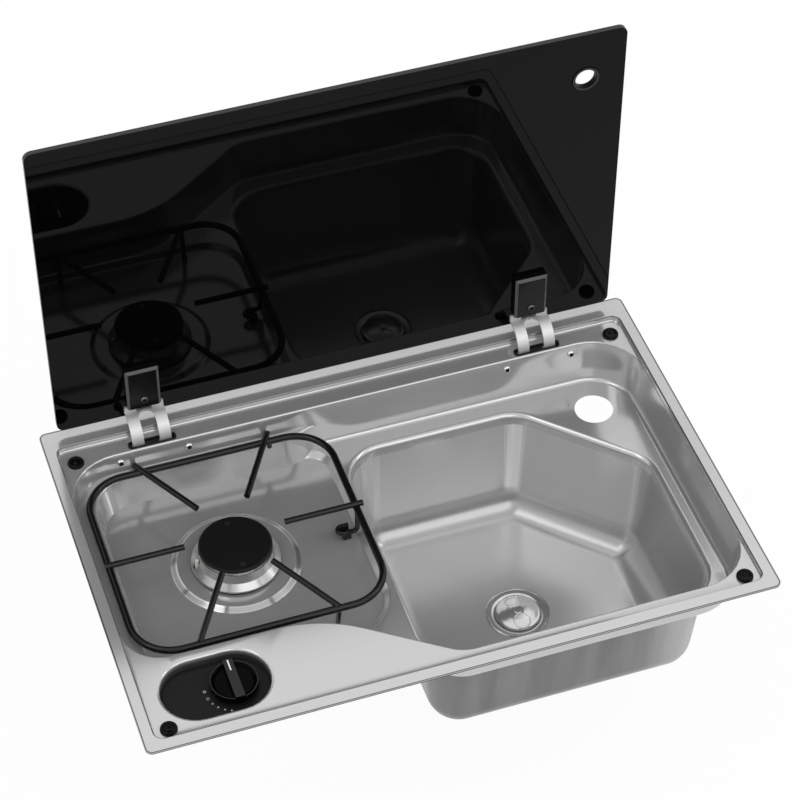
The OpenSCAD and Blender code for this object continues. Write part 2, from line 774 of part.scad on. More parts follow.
// knob: a dished body with a grip across it and a blind bore with a flat
module knob() color(black) place() translate([knob_x, knob_y, 0]) difference() {
  union() {
    rotate_extrude() polygon([[0, knob_foot], [knob_d / 2 - 1.2, knob_foot],
      [knob_d / 2, knob_foot + 1.2], [knob_d / 2 - 0.3, knob_top - 0.4],
      [knob_d / 2 - 0.8, knob_top], [knob_d / 2 - 1.6, knob_top - 0.2],
      [knob_d / 2 - 5, knob_top - 3.4], [0, knob_top - 3.8]]);
    intersection() {
      translate([-grip_w / 2, -knob_d / 2, knob_foot]) cube([grip_w, knob_d,
        knob_h + grip_rise]);
      translate([0, 0, knob_foot]) cylinder(h = knob_h + grip_rise, r = knob_d / 2 - 0.3);
    }
  }
  difference() {
    translate([0, 0, knob_foot - 1]) cylinder(h = spindle_top - knob_foot + 1 + fit,
      r = spindle_d / 2 + fit);
    translate([-spindle_d, spindle_d / 2 - 1.2 + fit, knob_foot - 2]) cube([2 * spindle_d,
      spindle_d, 40]);
  }
}

// burner
module at_burner() place() translate([burner_x, burner_y, 0]) children();

module burner_seal() color(rubber) at_burner() difference() {
  translate([0, 0, z_plateau]) cylinder(h = seal_t, r = skirt_d / 2 - 1.3);
  translate([0, 0, z_plateau - 1]) cylinder(h = seal_t + 2, r = burner_hole_r);
  translate([-electrode_out, 0, z_plateau - 1]) cylinder(h = seal_t + 2, r = ceramic_r + seat);
}

module burner_skirt() color(alloy) at_burner() difference() {
  foot = z_plateau + seal_t;
  r = skirt_d / 2;
  rotate_extrude() polygon([[burner_hole_r - 4, foot], [r - 1, foot], [r, foot + 1],
    [r - 0.5, foot + 2.6], [r - 6, foot + 8], [cap_d / 2 + 0.5, skirt_top - 2.5],
    [cap_d / 2, skirt_top], [burner_hole_r - 4, skirt_top], [burner_hole_r - 4, skirt_top - 3],
    [cap_d / 2 - 4, skirt_top - 3], [r - 9, foot + 7], [r - 4, foot + 2],
    [burner_hole_r - 4, foot + 2]]);
  translate([-electrode_out, 0, foot - 1]) cylinder(h = 40, r = ceramic_r + 0.5);
}

module burner_pot() color(alloy) at_burner() difference() {
  foot = z_plateau + seal_t;
  union() {
    rotate_extrude() polygon([[tube_r, pot_foot], [tube_r + 3, pot_foot],
      [tube_r + 3, z_plateau - 12], [burner_hole_r - 4 - seat, z_plateau - 2],
      [burner_hole_r - 4 - seat, skirt_top], [burner_hole_r - 7, skirt_top],
      [burner_hole_r - 7, z_plateau], [tube_r, z_plateau - 8]]);
    translate([0, 0, pot_foot - 14]) cylinder(h = 16, r = tube_r + 3);
  }
  translate([0, 0, pot_foot - 16]) cylinder(h = 14, r = tube_r - 1);
  translate([0, 0, pot_foot - 3]) cylinder(h = 8, r = 5);
  for (a = [0, 90]) rotate([0, 0, a + 45]) translate([-20, -4, pot_foot + 4]) cube([40, 8, 9]);
  translate([-20, 0, pipe_z]) rotate([0, 90, 0]) cylinder(h = 20, d = pipe_d + 2 * fit);
}

module burner_crown() color(alloy) at_burner() difference() {
  translate([0, 0, skirt_top]) cylinder(h = crown_h, r = cap_d / 2 - 2);
  translate([0, 0, skirt_top - 1]) cylinder(h = crown_h + 2, r = burner_hole_r - 9);
  for (i = [0:port_n - 1]) rotate([0, 0, (i + 0.5) * 360 / port_n])
    translate([burner_hole_r - 2, -0.7, skirt_top + 1]) cube([12, 1.4, crown_h]);
  for (s = [-1, 1]) translate([0, s * (cap_d / 2 - 8.3), skirt_top - 1]) cylinder(h = crown_h + 2,
    d = screw_d);
}

module burner_cap() color(black) at_burner() difference() {
  rotate_extrude() polygon([[0, crown_top], [cap_d / 2 - 0.6, crown_top],
    [cap_d / 2, crown_top + 0.6], [cap_d / 2, cap_top - 1.6], [cap_d / 2 - 1.6, cap_top],
    [0, cap_top]]);
  for (s = [-1, 1]) translate([0, s * (cap_d / 2 - 8.3), 0]) {
    translate([0, 0, crown_top - 1]) cylinder(h = cap_t + 2, d = screw_d + 0.2);
    translate([0, 0, cap_top - 1.5]) cylinder(h = 3, d = screw_d * 1.9);
  }
}

module cap_screws() color(black) at_burner() {
  for (s = [-1, 1]) translate([0, s * (cap_d / 2 - 8.3), cap_top - 1.5]) {
    cylinder(h = 1.3, d = screw_d * 1.7);
    translate([0, 0, -cap_t - crown_h + 2]) cylinder(h = cap_t + crown_h - 2, d = screw_d);
  }
}

module injector() color(brass) at_burner() {
  difference() {
    union() {
      translate([0, 0, pot_foot - 14]) cylinder(h = 7, r = tube_r - 1);
      translate([0, 0, pot_foot - 8]) cylinder(h = 4, r = 4);
    }
    translate([0, 0, pot_foot - 16]) cylinder(h = 6, r = 3);
    translate([0, 0, pot_foot - 12]) cylinder(h = 12, r = 0.6);
    translate([-20, 0, pipe_z]) rotate([0, 90, 0]) cylinder(h = 20, d = pipe_d + 2 * fit);
  }
}

module electrode() color(ceramic) place() translate([electrode_x, burner_y, 0]) {
  translate([0, 0, z_plateau - 16]) cylinder(h = 18, r = ceramic_r - 0.2);
  translate([0, 0, z_plateau - 18]) cylinder(h = skirt_top - z_plateau + 14, r = electrode_r);
  translate([0, 0, z_plateau - sheet_t - 4]) cylinder(h = 4, r = ceramic_r + 3);
}

// straight rod between two points
module rod(a, b, r) {
  v = b - a;
  l = norm(v);
  translate(a) rotate([0, acos(v[2] / l), atan2(v[1], v[0])]) cylinder(h = l, r = r);
}

// lead under the hob floor, up behind the valve and into its back
module electrode_lead() color(black) place() {
  r = 1.3;
  xl = knob_x + 9;
  yl = knob_y + outlet_l + 18;
  zl = pipe_z + 8;
  a = [electrode_x, burner_y, z_plateau - 18];
  b = [electrode_x, burner_y, zl];
  c = [xl, yl, zl];
  d = [xl, yl, outlet_z];
  e = [xl, knob_y + 9.7, outlet_z];
  rod(a, b, r);
  rod(b, c, r);
  rod(c, d, r);
  rod(d, e, r);
  for (p = [b, c, d]) translate(p) sphere(r + 0.15);
}

// quarter bend of a pipe in the XY plane: enters along +X at the origin, leaves along +Y
module bend(br, r) {
  translate([0, br, 0]) rotate([0, 0, -90]) rotate_extrude(angle = 90) translate([br, 0])
    circle(r);
}

// pipe run: out of the valve's back, down in front of the well, then under the hob floor
drop_y = knob_y + outlet_l + 9 + pipe_bend_r;
module burner_pipe() color(bright) place() {
  r = pipe_d / 2;
  b = pipe_bend_r;
  y0 = knob_y + outlet_l - 4;
  translate([knob_x, y0, outlet_z]) rotate([-90, 0, 0]) cylinder(h = drop_y - b - y0, r = r);
  translate([knob_x, drop_y - b, outlet_z]) rotate([-90, 0, 90]) bend(b, r);
  translate([knob_x, drop_y, pipe_z + b]) cylinder(h = outlet_z - pipe_z - 2 * b, r = r);
  translate([knob_x, drop_y, pipe_z + b]) rotate([0, 90, 0]) bend(b, r);
  translate([knob_x, drop_y + b, pipe_z]) rotate([-90, 0, 0]) cylinder(h = burner_y - drop_y
    - 2 * b, r = r);
  translate([knob_x, burner_y - b, pipe_z]) mirror([1, -1, 0]) bend(b, r);
  translate([knob_x + b, burner_y, pipe_z]) rotate([0, 90, 0]) cylinder(h = burner_x - knob_x
    - b - tube_r + 2, r = r);
}

inlet_z = valve_foot + 20;
inlet_x = knob_x - valve_w / 2 - 14;
inlet_end = z_platform - 32;
inlet_run = 6;
module inlet_pipe() color(bright) place() {
  r = pipe_d / 2;
  b = pipe_bend_r;
  y1 = knob_y + b;
  translate([inlet_x, knob_y, inlet_z]) rotate([0, 90, 0]) cylinder(h = knob_x - valve_w / 2
    + 5 - inlet_x, r = r);
  translate([inlet_x, knob_y, inlet_z]) mirror([1, 0, 0]) bend(b, r);
  translate([inlet_x - b, y1, inlet_z]) rotate([-90, 0, 0]) cylinder(h = inlet_run, r = r);
  translate([inlet_x - b, y1 + inlet_run, inlet_z]) rotate([-90, 0, 90]) bend(b, r);
  translate([inlet_x - b, y1 + inlet_run + b, inlet_end]) cylinder(h = inlet_z - b - inlet_end,
    r = r);
}

module pipe_nuts() color(brass) place() {
  h = 8;
  translate([knob_x - valve_w / 2 - h, knob_y, inlet_z]) rotate([0, 90, 0]) pipe_nut(h);
  translate([knob_x, knob_y + outlet_l, outlet_z]) rotate([-90, 0, 0]) pipe_nut(h);
}
module pipe_nut(h) {
  difference() {
    cylinder(h = h, r = 7.5, $fn = 6);
    translate([0, 0, -1]) cylinder(h = h + 2, r = pipe_d / 2 + fit);
  }
}

// pan support
ring_cx = ring_x + ring_w / 2;
ring_cy = ring_y + ring_dp / 2;
prong_z = -ring_drop + 2;
leg_r = 2.5;
loop_z = z_platform + leg_r + seat;
loop_gap = 9;
loop_run = 13.7;
loop_x = ring_x + ring_w - loop_run;
back_leg_y = 7.5;
stop_x = 213;
module ring_wire() {
  r = ring_d / 2;
  c = ring_corner_r;
  hx = ring_w / 2;
  hy = ring_dp / 2;
  translate([ring_cx, ring_cy, -ring_drop]) {
    for (s = [-1, 1]) {
      translate([-hx + c, s * hy, 0]) rotate([0, 90, 0]) cylinder(h = 2 * (hx - c), r = r);
      translate([s * hx, -hy + c, 0]) rotate([-90, 0, 0]) cylinder(h = 2 * (hy - c), r = r);
    }
    for (a = [0:3]) {
      sx = (a == 0 || a == 3) ? 1 : -1;
      sy = a < 2 ? 1 : -1;
      translate([sx * (hx - c), sy * (hy - c), 0]) rotate([0, 0, 90 * a])
        rotate_extrude(angle = 90) translate([c, 0]) circle(r);
    }
  }
}

module pan_support() color(black) place() {
  back = (ring_y + ring_dp + 9.5 - burner_y) / sin(60);
  front = (burner_y - ring_y) / sin(60);
  right = ring_x + ring_w + 7 - burner_x;
  left = burner_x - ring_x + 3;
  reach = [right, back, back, left, front, front];
  ring_wire();
  for (i = [0:5]) translate([burner_x, burner_y, prong_z]) rotate([0, 0, 60 * i])
    translate([prong_in, 0, 0]) rotate([0, 90, 0]) cylinder(h = reach[i] - prong_in,
      d = prong_d);
  // legs: back and left ones stand on the shelf, front ones on the hob floor
  for (s = [-1, 1]) {
    x = burner_x + s * (ring_y + ring_dp + back_leg_y - burner_y) / tan(60);
    translate([x, ring_y + ring_dp + back_leg_y, z_shelf + seat]) cylinder(h = prong_z
      - z_shelf - seat, r = leg_r);
    xf = burner_x + s * (burner_y - ring_y) / tan(60);
    foot = [xf, pocket_f + 15, z_pocket + leg_r + 2 * seat];
    rod([xf, ring_y, -ring_drop], foot, leg_r);
    translate(foot) sphere(leg_r + seat);
  }
  translate([ring_x, burner_y, z_shelf + seat]) cylinder(h = -ring_drop - z_shelf - seat,
    r = leg_r);
  // short stop at the back that keeps the ring from sliding over the shelf's edge
  translate([stop_x, ring_y + ring_dp, -ring_drop - 8]) cylinder(h = 8, r = leg_r);
  // right leg with its open loop
  xr = ring_x + ring_w;
  b = 5;
  y0 = burner_y - loop_gap / 2;
  y1 = burner_y + loop_gap / 2;
  translate([xr, y0, loop_z + b]) cylinder(h = -ring_drop - loop_z - b, r = leg_r);
  translate([xr - b, y0, loop_z + b]) rotate([90, 0, 0]) rotate([0, 0, -90])
    rotate_extrude(angle = 90) translate([b, 0]) circle(leg_r);
  translate([loop_x, y0, loop_z]) rotate([0, 90, 0]) cylinder(h = xr - b - loop_x, r = leg_r);
  translate([loop_x, burner_y, loop_z]) rotate([0, 0, 90]) rotate_extrude(angle = 180)
    translate([loop_gap / 2, 0]) circle(leg_r);
  translate([loop_x, y1, loop_z]) rotate([0, 90, 0]) cylinder(h = 7, r = leg_r);
}

// clip on the hob floor: its base carries the loop, its tongue stands between the wires
module support_clip() color(black) place() {
  w = loop_gap - 2 * leg_r - 0.8;
  h = loop_z + leg_r + 1.2 - z_pocket;
  base_w = loop_gap + leg_r;
  translate([loop_x - 0.9, burner_y - w / 2, z_pocket]) cube([4, w, h]);
  translate([loop_x - 0.9, burner_y - base_w / 2, z_pocket]) cube([8, base_w,
    loop_z - leg_r - seat - z_pocket]);
}

// waste fittings
module at_waste() place() translate([waste_x, waste_y, 0]) children();

module waste_flange() color(bright) at_waste() rotate_extrude() polygon([
  [waste_hole_r - 3.5, z_dish - 21], [waste_hole_r - 1, z_dish - 21],
  [waste_hole_r - 1, z_dish], [flange_r, z_dish], [flange_r + 0.6, z_dish + 0.8],
  [flange_r - 0.6, z_dish + 2.2], [flange_r - 5, z_dish + 1.8], [flange_r - 7, z_dish + 0.9],
  [waste_hole_r, z_dish + 0.9], [waste_hole_r - 3.5, z_dish - 3]]);

// domed strainer: water runs in under its raised edge, two round beads stiffen it
strainer_z = z_dish + 2.3;
strainer_r = flange_r - 7.6;
bead_r = 8;
module waste_strainer() color(bright) at_waste() translate([0, 0, strainer_z]) {
  r = strainer_r;
  rotate_extrude() polygon([[2, 4.4], [6, 4.3], [12, 3.5], [17, 2.3], [r - 1.5, 0.9], [r, 0.9],
    [r, 0], [r - 2, 0], [17, 1.4], [12, 2.6], [6, 3.4], [2, 3.5]]);
  for (s = [-1, 1]) translate([0, s * (bead_r + 4.7), 2.7]) rotate([-s * 11.8, 0, 0])
    rotate_extrude() translate([bead_r, 0]) circle(0.7);
}

module strainer_screw() color(bright) at_waste() {
  translate([0, 0, strainer_z + 4.4]) cylinder(h = 1.4, r = 3.6);
  translate([0, 0, z_dish - 24]) cylinder(h = strainer_z - z_dish + 24 + 4.5, r = 1.9);
}

module waste_gasket() color(rubber) at_waste() difference() {
  translate([0, 0, z_dish - sheet_t - 2]) cylinder(h = 2, r = dish_r);
  translate([0, 0, z_dish - sheet_t - 3]) cylinder(h = 4, r = waste_hole_r);
}

module waste_body() color(black) at_waste() {
  z1 = z_dish - sheet_t - 2;
  z2 = z1 - 22;
  t = tail_d / 2;
  difference() {
    rotate_extrude() polygon([[0, z2 - tail_l], [t - 1, z2 - tail_l], [t, z2 - tail_l + 1],
      [t, z2], [dish_r - 8, z2], [dish_r - 5, z2 + 3], [dish_r - 5, z1 - 5], [dish_r, z1 - 4],
      [dish_r, z1], [0, z1]]);
    translate([0, 0, z2 + 2]) cylinder(h = 22, r = waste_hole_r - fit);
    translate([0, 0, z2 - tail_l - 1]) cylinder(h = tail_l + 4, r = t - 2.5);
  }
  // spider that takes the strainer screw
  difference() {
    translate([-waste_hole_r, -1.5, z_dish - 24.5]) cube([2 * waste_hole_r, 3, 3]);
    translate([0, 0, z_dish - 26]) cylinder(h = 6, r = 1.9);
  }
}

// lid
finger_z = glass_z0 + lid_h - finger_edge;
module on_glass() {
  translate([0, glass_y, 0]) rotate([90, 0, 0]) mirror([0, 0, 1]) children();
}
module glass_lid() color(glass) place() on_glass() linear_extrude(glass_t) difference() {
  round_rect(step_l + lid_side_gap, glass_z0, rim_w - step_l - lid_side_gap,
    glass_z0 + lid_h, glass_corner_r);
  translate([rim_w - finger_right, finger_z]) circle(d = finger_hole_d);
}

module finger_ring() color(black) place() translate([rim_w - finger_right, glass_y, finger_z])
  rotate([-90, 0, 0]) {
    r = finger_hole_d / 2;
    rotate_extrude() polygon([[r - 1.8, -0.4], [r - 1.2, -1], [r + 0.8, -1], [r + 1.6, -0.4],
      [r + 1.6, 0], [r - fit, 0], [r - fit, glass_t], [r + 1.6, glass_t],
      [r + 1.6, glass_t + 0.4], [r + 0.8, glass_t + 1], [r - 1.2, glass_t + 1],
      [r - 1.8, glass_t + 0.4]]);
  }

plate_y = glass_y - arm_t;
cover_z0 = 21;
arm_split = cover_z0 - 3;
cover_screw_z = cover_z0 + 11.5;
// arm outline across the hinge: plate on the glass, curve through the slot, spoke to the eye
module arm_curve() {
  far = arm_out * 2;
  difference() {
    union() {
      intersection() {
        translate([pin_y, pin_z]) difference() {
          circle(arm_out);
          circle(arm_in);
        }
        translate([pin_y, pin_z]) polygon([[0, 0], [far * cos(arm_start), far * sin(arm_start)],
          [far * cos(arm_start), far], [-far, far], [-far, far * sin(arm_end)],
          [far * cos(arm_end), far * sin(arm_end)]]);
      }
      translate([plate_y, pin_z + arm_in * sin(arm_start)]) square([arm_t,
        arm_split - pin_z - arm_in * sin(arm_start)]);
      translate([pin_y, pin_z]) rotate(arm_end) translate([0, -arm_t / 2]) square([arm_out - 0.3,
        arm_t]);
      translate([pin_y, pin_z]) circle(eye_r);
    }
    translate([pin_y, pin_z]) circle(pin_d / 2 + fit);
  }
}
module hinge_arm(x) {
  for (s = [-1, 1]) translate([x + s * finger_pitch / 2 - finger_w / 2, 0, 0])
    rotate([90, 0, 90]) linear_extrude(finger_w) arm_curve();
  translate([x - arm_w / 2, plate_y, arm_split - 1]) cube([arm_w, arm_t,
    cover_z0 - seat - arm_split + 1]);
  difference() {
    translate([x - cover_w / 2 + 3, plate_y, arm_split]) cube([cover_w - 6, arm_t, cover_h - 2]);
    translate([x, glass_y + 1, cover_screw_z]) rotate([90, 0, 0]) cylinder(h = arm_t + 2,
      d = screw_d);
  }
  difference() {
    translate([x - arm_w / 2, pin_y, pin_z]) rotate([0, 90, 0]) cylinder(h = arm_w, r = eye_r);
    translate([x - arm_w / 2 - 1, pin_y, pin_z]) rotate([0, 90, 0]) cylinder(h = arm_w + 2,
      r = pin_d / 2 + fit);
  }
}
module hinge_arm_left() color(bright) place() hinge_arm(hinge_places[0]);
module hinge_arm_right() color(bright) place() hinge_arm(hinge_places[1]);

// cover: a bevelled cap that sits on the glass over the arm's plate
module hinge_cover(x) {
  b = 2.5;
  w = cover_w / 2;
  sec = [[0, 0], [0, cover_t - b], [b, cover_t]];
  difference() {
    translate([x, glass_y, cover_z0]) rotate([90, 0, 0]) loft([for (i = [2:-1:0])
      let(d = sec[i][0])
      [[-w + d, d * 0.4, sec[i][1]], [w - d, d * 0.4, sec[i][1]], [w - d, cover_h - d, sec[i][1]],
        [-w + d, cover_h - d, sec[i][1]]]], 0);
    translate([x - cover_w / 2 + 3 - fit, plate_y - fit, cover_z0 - 1]) cube([cover_w - 6
      + 2 * fit, arm_t + 1, cover_h - 3.5]);
    translate([x, glass_y + 1, cover_screw_z]) rotate([90, 0, 0]) cylinder(h = cover_t + 2,
      d = screw_d);
  }
}
module hinge_cover_left() color(black) place() hinge_cover(hinge_places[0]);
module hinge_cover_right() color(black) place() hinge_cover(hinge_places[1]);

module cover_screws() color(bright) place() {
  for (x = hinge_places) translate([x, glass_y - cover_t, cover_screw_z])
    rotate([-90, 0, 0]) pan_screw(screw_d, cover_t - 0.1);
}

tray();
sink_bowl();
rim_seal();
lid_buffers();
grommet_left();
grommet_right();
hinge_box_left();
hinge_box_right();
hinge_pin_left();
hinge_pin_right();
hinge_screws();
knob_plate();
gas_valve();
valve_screws();
burner_seal();
burner_skirt();
burner_pot();
burner_crown();
burner_cap();
cap_screws();
injector();
electrode();
electrode_lead();
burner_pipe();
inlet_pipe();
pipe_nuts();
support_clip();
waste_flange();
waste_strainer();
strainer_screw();
waste_gasket();
waste_body();
glass_lid();
finger_ring();
hinge_cover_left();
hinge_cover_right();
hinge_arm_left();
hinge_arm_right();
cover_screws();
valve_plug();
valve_spindle();
knob();
pan_support();
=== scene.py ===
import math

import bmesh
import bpy
from mathutils import Matrix, Vector


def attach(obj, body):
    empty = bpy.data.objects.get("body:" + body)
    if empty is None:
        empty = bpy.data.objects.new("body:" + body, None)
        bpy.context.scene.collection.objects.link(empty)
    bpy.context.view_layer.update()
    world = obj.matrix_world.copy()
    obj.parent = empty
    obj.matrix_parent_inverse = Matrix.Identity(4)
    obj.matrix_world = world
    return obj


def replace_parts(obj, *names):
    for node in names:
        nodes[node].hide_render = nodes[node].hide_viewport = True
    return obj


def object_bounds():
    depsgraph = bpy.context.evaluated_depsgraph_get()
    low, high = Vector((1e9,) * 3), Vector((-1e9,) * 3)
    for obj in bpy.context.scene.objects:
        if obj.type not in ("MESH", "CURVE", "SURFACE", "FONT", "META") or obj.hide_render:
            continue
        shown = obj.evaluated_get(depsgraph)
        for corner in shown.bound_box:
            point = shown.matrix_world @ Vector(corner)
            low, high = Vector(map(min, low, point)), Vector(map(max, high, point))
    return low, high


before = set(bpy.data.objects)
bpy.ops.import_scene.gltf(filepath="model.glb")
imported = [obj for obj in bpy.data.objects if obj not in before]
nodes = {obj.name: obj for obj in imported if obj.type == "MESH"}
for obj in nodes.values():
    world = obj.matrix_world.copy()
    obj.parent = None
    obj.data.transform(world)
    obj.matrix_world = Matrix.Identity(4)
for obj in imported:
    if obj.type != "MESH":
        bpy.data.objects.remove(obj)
cad_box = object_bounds()

# Driving dimensions and places, in millimetres from the rim's front left corner, as in the part's source
MM = 0.001
RIM_W, RIM_D, RIM_CORNER_R = 600.0, 400.0, 7.0
SEAT_Y = 5.2
LIP_H = 1.5
DRAFT = math.radians(6)
BUFFERS = [(26.5, 25.2), (573.5, 25.2), (573.5, 358.0), (26.5, 358.0)]
BURNER = (147.0, 235.0)
SKIRT_FOOT = -55.4
KNOB, KNOB_R = (96.0, 60.7), 22.35
PLATE_TOP = -16.5
GRIP_TOP = -4.1
RECESS_RIGHT, RECESS_BACK = 168.0, 98.2
BOWL_MID = (423.2, 191.0, -91.5)
HINGES = (103.0, 497.0)
# the hinge pin's place in y and z
PIN = (385.0, -8.1)
WALL_SCREW_SIDE = 33.9
WALL_SCREWS = [(x + side * WALL_SCREW_SIDE, 355.34, -17.0) for x in HINGES for side in (-1, 1)]
COVER_SCREWS = [(x, 382.65, 32.5) for x in HINGES]


def at(x, y, z):
    """A place given in millimetres from the rim's corner, in the row frame in metres."""
    return Vector(((x - RIM_W / 2) * MM, (y - SEAT_Y) * MM, (z + LIP_H) * MM))


def turned(centre, r, angle):
    """The two coordinates of a point on a circle, at an angle in degrees."""
    t = math.radians(angle)
    return centre[0] + r * math.cos(t), centre[1] + r * math.sin(t)


# Camera, fitted to the rim, the buffers and the sink in the photograph
CAM_AZ, CAM_EL, CAM_ROLL = (math.radians(a) for a in (-18.795, 46.059, -0.125))
CAM_AT = Vector((-0.5571, -1.4378, 1.9376))
CAM_LENS, CAM_SENSOR = 124.68, 36
CAM_FAR = 50


def make_camera():
    back = Vector((math.sin(CAM_AZ) * math.cos(CAM_EL), -math.cos(CAM_AZ) * math.cos(CAM_EL),
                   math.sin(CAM_EL)))
    level = (-back).cross(Vector((0, 0, 1))).normalized()
    upright = level.cross(-back)
    right = level * math.cos(CAM_ROLL) - upright * math.sin(CAM_ROLL)
    up = level * math.sin(CAM_ROLL) + upright * math.cos(CAM_ROLL)
    data = bpy.data.cameras.new("camera")
    data.sensor_width = CAM_SENSOR
    data.lens = CAM_LENS
    data.clip_end = CAM_FAR
    camera = bpy.data.objects.new("camera", data)
    bpy.context.scene.collection.objects.link(camera)
    matrix = Matrix((right, up, back)).transposed().to_4x4()
    matrix.translation = CAM_AT
    camera.matrix_world = matrix
    bpy.context.scene.camera = camera


# Numbers and materials in node trees
class Num:
    """A number in a node tree, so that a mask reads as arithmetic."""

    def __init__(self, tree, socket):
        self.tree = tree
        self.socket = socket

    def into(self, socket):
        self.tree.links.new(self.socket, socket)

    def by(self, operation, *others):
        """This number and others through a Math node."""
        node = self.tree.nodes.new("ShaderNodeMath")
        node.operation = operation
        for value, socket in zip((self, *others), node.inputs):
            if isinstance(value, Num):
                value.into(socket)
            else:
                socket.default_value = value
        return Num(self.tree, node.outputs[0])

    def __add__(self, other):
        return self.by("ADD", other)

    def __sub__(self, other):
        return self.by("SUBTRACT", other)

    def __rsub__(self, other):
        return -self + other

    def __mul__(self, other):
        return self.by("MULTIPLY", other)

    def __neg__(self):
        return self * -1.0

    def __abs__(self):
        return self.by("ABSOLUTE")

    def ramp(self, low, high, start=0.35, end=0.65):
        """From low to high as this number goes from start to end, and level outside."""
        node = self.tree.nodes.new("ShaderNodeMapRange")
        node.inputs["From Min"].default_value = start
        node.inputs["From Max"].default_value = end
        node.inputs["To Min"].default_value = low
        node.inputs["To Max"].default_value = high
        self.into(node.inputs["Value"])
        return Num(self.tree, node.outputs["Result"])

    def past(self, edge, width):
        """0 below the edge and 1 above it, over a width."""
        return self.ramp(0, 1, edge - width / 2, edge + width / 2)

    def until(self, edge, width):
        """1 below the edge and 0 above it, over a width."""
        return self.ramp(1, 0, edge - width / 2, edge + width / 2)


def larger(first, *others):
    """The largest of some numbers, the first of which is in a node tree."""
    for other in others:
        first = first.by("MAXIMUM", other)
    return first


def length(a, b):
    return (a * a + b * b).by("SQRT")


def grey(value):
    """A very slightly cool grey."""
    return (value, value, value * 1.01)


class Paint:
    """A material whose looks follow the part's own coordinates."""

    def __init__(self, name):
        self.material = bpy.data.materials.new(name)
        self.material.use_nodes = True
        self.tree = self.material.node_tree
        self.coords = self.tree.nodes.new("ShaderNodeTexCoord").outputs

    def split(self, vector):
        node = self.tree.nodes.new("ShaderNodeSeparateXYZ")
        self.tree.links.new(vector, node.inputs[0])
        return [Num(self.tree, socket) for socket in node.outputs]

    def place(self):
        """The place in millimetres from the rim's corner."""
        x, y, z = self.split(self.coords["Object"])
        return x * (1 / MM) + RIM_W / 2, y * (1 / MM) + SEAT_Y, z * (1 / MM) - LIP_H

    def facing(self):
        """The direction that the surface faces."""
        return self.split(self.coords["Normal"])

    def grain(self, scale, stretch=(1, 1, 1), detail=4.0):
        """Noise, drawn out along an axis whose factor is small."""
        spread = self.tree.nodes.new("ShaderNodeMapping")
        spread.inputs["Scale"].default_value = stretch
        cloud = self.tree.nodes.new("ShaderNodeTexNoise")
        cloud.inputs["Scale"].default_value = scale
        cloud.inputs["Detail"].default_value = detail
        self.tree.links.new(self.coords["Object"], spread.inputs["Vector"])
        self.tree.links.new(spread.outputs["Vector"], cloud.inputs["Vector"])
        return Num(self.tree, cloud.outputs["Fac"])

    def mixed(self, first, second, share):
        """A colour on the way from the first to the second, each plain or a socket."""
        node = self.tree.nodes.new("ShaderNodeMix")
        node.data_type = "RGBA"
        for side, colour in (("A", first), ("B", second)):
            if isinstance(colour, tuple):
                node.inputs[side].default_value = (*colour, 1)
            else:
                self.tree.links.new(colour, node.inputs[side])
        share.into(node.inputs["Factor"])
        return node.outputs["Result"]

    def done(self, colour, rough, metal, height, strength, depth, level=None):
        shader = self.tree.nodes["Principled BSDF"]
        self.tree.links.new(colour, shader.inputs["Base Color"])
        rough.into(shader.inputs["Roughness"])
        shader.inputs["Metallic"].default_value = metal
        if level is not None:
            shader.inputs["Specular IOR Level"].default_value = level
        bump = self.tree.nodes.new("ShaderNodeBump")
        bump.inputs["Strength"].default_value = strength
        bump.inputs["Distance"].default_value = depth
        height.into(bump.inputs["Height"])
        self.tree.links.new(bump.outputs["Normal"], shader.inputs["Normal"])
        return self.material


# depth of the grain, and its strength and depth where it is finer
GRAIN_DEPTH = 0.02 * MM
FINE_BUMP = (0.02, 0.005 * MM)
SHEET_BUMP = (0.012, 0.004 * MM)


def even(name, dark, light, rough, metal, scale, stretch=(1, 1, 1), strength=0.15, level=None):
    """A surface whose colour, roughness and bump follow one grain."""
    paint = Paint(name)
    grain = paint.grain(scale, stretch)
    colour = paint.mixed(dark, light, grain.ramp(0, 1))
    return paint.done(colour, grain.ramp(*rough), metal, grain, strength, GRAIN_DEPTH, level)


def two_tone(name, dark, light, mask_of, rough, metal, level):
    """A surface that goes from dark to light where its mask does."""
    paint = Paint(name)
    mask = mask_of(paint.place(), paint.facing())
    fine = paint.grain(1500, detail=2.0)
    colour = paint.mixed(grey(dark), grey(light), mask - fine * 0.06 * mask)
    return paint.done(colour, mask.ramp(*rough, 0, 1), metal, fine, *FINE_BUMP, level)


def sheet_steel(name, base, rough, vary):
    """Satin sheet: fine grain along X, long streaks and slow patches."""
    paint = Paint(name)
    fine = paint.grain(2200, (0.015, 1, 1), 3.0)
    streak = paint.grain(260, (0.02, 1, 1), 2.0)
    slow = paint.grain(9, (0.5, 1, 1), 2.0)
    wear = fine * 0.45 + streak * 0.30 + slow * 0.25
    colour = paint.mixed(grey(base - vary), grey(base + vary), wear.ramp(0, 1, 0.3, 0.7))
    return paint, colour, wear.ramp(rough - vary, rough + vary, 0.3, 0.7), fine


def rim_distance(x, y):
    """How far a place is outside the rim's rounded outline, less than 0 inside it."""
    side = abs(x - RIM_W / 2) - (RIM_W / 2 - RIM_CORNER_R)
    end = abs(y - RIM_D / 2) - (RIM_D / 2 - RIM_CORNER_R)
    return length(larger(side, 0), larger(end, 0)) + larger(side, end).by("MINIMUM", 0) - RIM_CORNER_R


